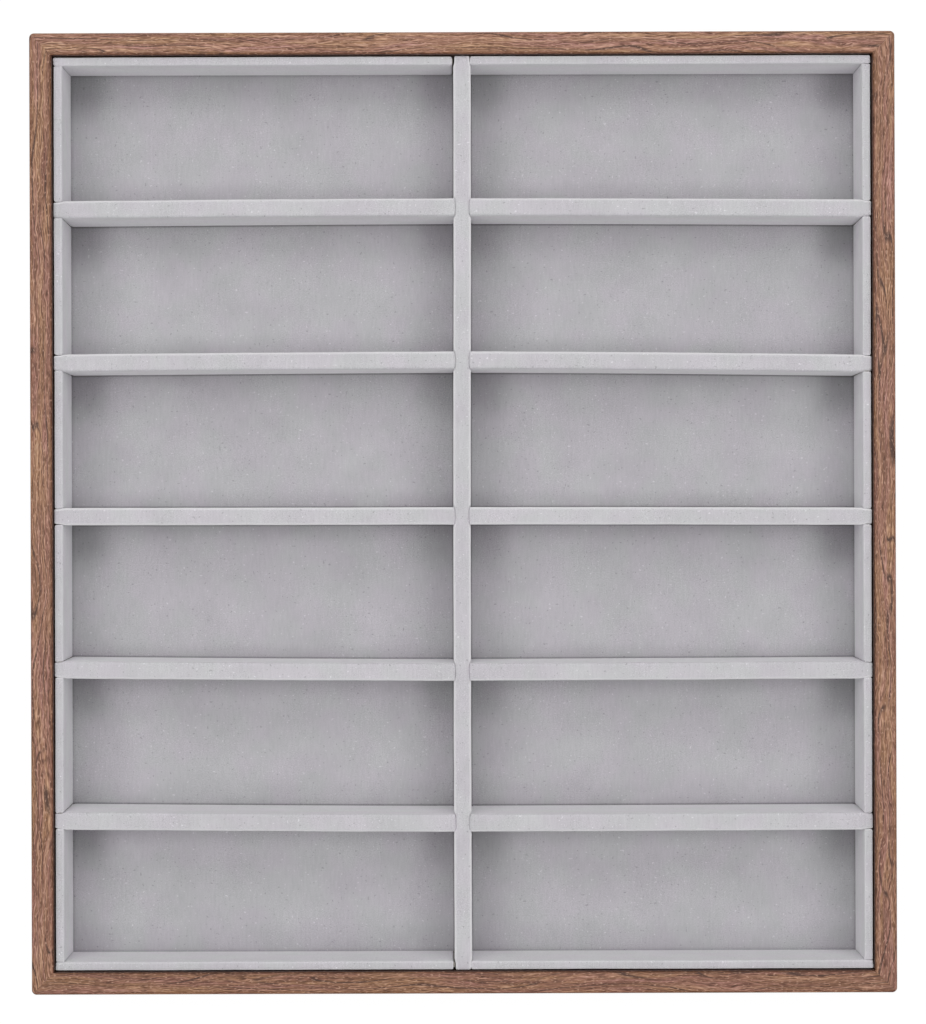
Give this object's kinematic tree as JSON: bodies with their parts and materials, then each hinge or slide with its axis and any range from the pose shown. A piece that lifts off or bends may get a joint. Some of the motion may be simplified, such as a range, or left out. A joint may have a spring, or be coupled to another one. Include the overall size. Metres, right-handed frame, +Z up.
{
  "type": "glasses organizer tray",
  "caption": "Open rectangular tray with a mitred walnut-grain frame and a suede-covered divider grid that holds folded glasses in two columns of compartments.",
  "frame": {"origin": "middle of the underside, on the surface that the tray stands on", "axes": "+Z up; +Y towards the back, which is the top of the picture, along the column of compartments; +X to the right, along each compartment"},
  "size_m": [0.36, 0.4, 0.045],
  "materials": {
    "walnut_film": "matt walnut-grain wrap on fibreboard rails",
    "suede": "short-napped light grey synthetic suede",
    "board": "dense grey board, uncoated",
    "hardboard": "smooth brown hardboard",
    "steel": "bright wire and strip"
  },
  "bodies": {
    "root": {"back_lining_board_1": "board", "back_lining_board_2": "board", "back_lining_suede_1": "suede", "back_lining_suede_2": "suede", "back_rail": "walnut_film", "base_brads": "steel", "base_panel": "hardboard", "centre_divider_board": "board", "centre_divider_suede": "suede", "corner_v_nails": "steel", "cross_divider_board_1": "board", "cross_divider_board_2": "board", "cross_divider_board_3": "board", "cross_divider_board_4": "board", "cross_divider_board_5": "board", "cross_divider_suede_1": "suede", "cross_divider_suede_2": "suede", "cross_divider_suede_3": "suede", "cross_divider_suede_4": "suede", "cross_divider_suede_5": "suede", "floor_board": "board", "floor_suede": "suede", "front_lining_board_1": "board", "front_lining_board_2": "board", "front_lining_suede_1": "suede", "front_lining_suede_2": "suede", "front_rail": "walnut_film", "left_lining_board_1": "board", "left_lining_board_2": "board", "left_lining_board_3": "board", "left_lining_board_4": "board", "left_lining_board_5": "board", "left_lining_board_6": "board", "left_lining_suede_1": "suede", "left_lining_suede_2": "suede", "left_lining_suede_3": "suede", "left_lining_suede_4": "suede", "left_lining_suede_5": "suede", "left_lining_suede_6": "suede", "left_rail": "walnut_film", "right_lining_board_1": "board", "right_lining_board_2": "board", "right_lining_board_3": "board", "right_lining_board_4": "board", "right_lining_board_5": "board", "right_lining_board_6": "board", "right_lining_suede_1": "suede", "right_lining_suede_2": "suede", "right_lining_suede_3": "suede", "right_lining_suede_4": "suede", "right_lining_suede_5": "suede", "right_lining_suede_6": "suede", "right_rail": "walnut_film"}
  },
  "joints": []
}
